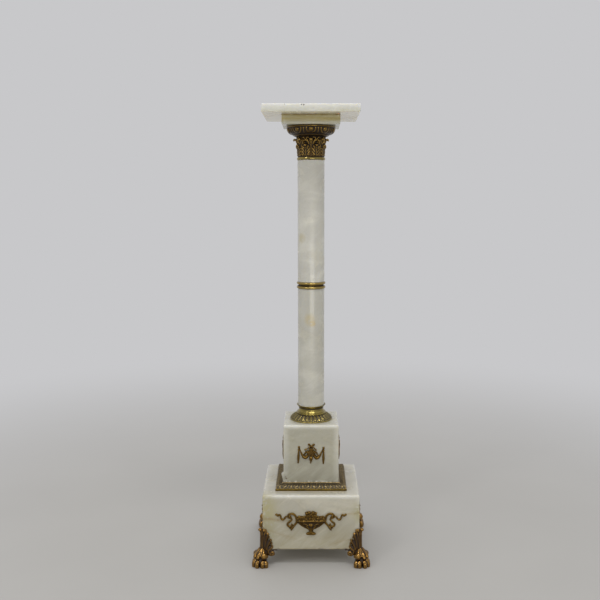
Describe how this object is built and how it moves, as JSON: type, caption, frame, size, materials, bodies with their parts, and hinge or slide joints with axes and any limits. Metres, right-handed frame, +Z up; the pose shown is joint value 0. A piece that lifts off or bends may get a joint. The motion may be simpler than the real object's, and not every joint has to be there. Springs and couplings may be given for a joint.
{
  "type": "onyx and gilt bronze pedestal",
  "caption": "Tall stone pedestal with a square top, a round shaft in two drums, an acanthus capital, square blocks with bronze mounts and lion-paw feet.",
  "frame": {"origin": "centre of the footprint, on the floor the feet stand on", "axes": "+Z up along the shaft, -Y towards the front, +X to the right as seen from the front"},
  "size_m": [0.2912, 0.2912, 1.1],
  "materials": {
    "onyx": "polished translucent onyx with soft veins",
    "gilt_bronze": "cast and gilt bronze, worn to dark brown in the hollows"
  },
  "bodies": {
    "root": {"top_slab": "onyx", "neck_block": "onyx", "capital": "gilt_bronze", "shaft_upper": "onyx", "shaft_ring": "gilt_bronze", "shaft_lower": "onyx", "shaft_base": "gilt_bronze", "dado_block": "onyx", "leaf_moulding": "gilt_bronze", "base_block": "onyx", "foot_front_left": "gilt_bronze", "foot_front_right": "gilt_bronze", "foot_back_right": "gilt_bronze", "foot_back_left": "gilt_bronze", "swag_front": "gilt_bronze", "swag_right": "gilt_bronze", "swag_back": "gilt_bronze", "swag_left": "gilt_bronze", "urn_front": "gilt_bronze", "urn_right": "gilt_bronze", "urn_back": "gilt_bronze", "urn_left": "gilt_bronze"}
  },
  "joints": []
}
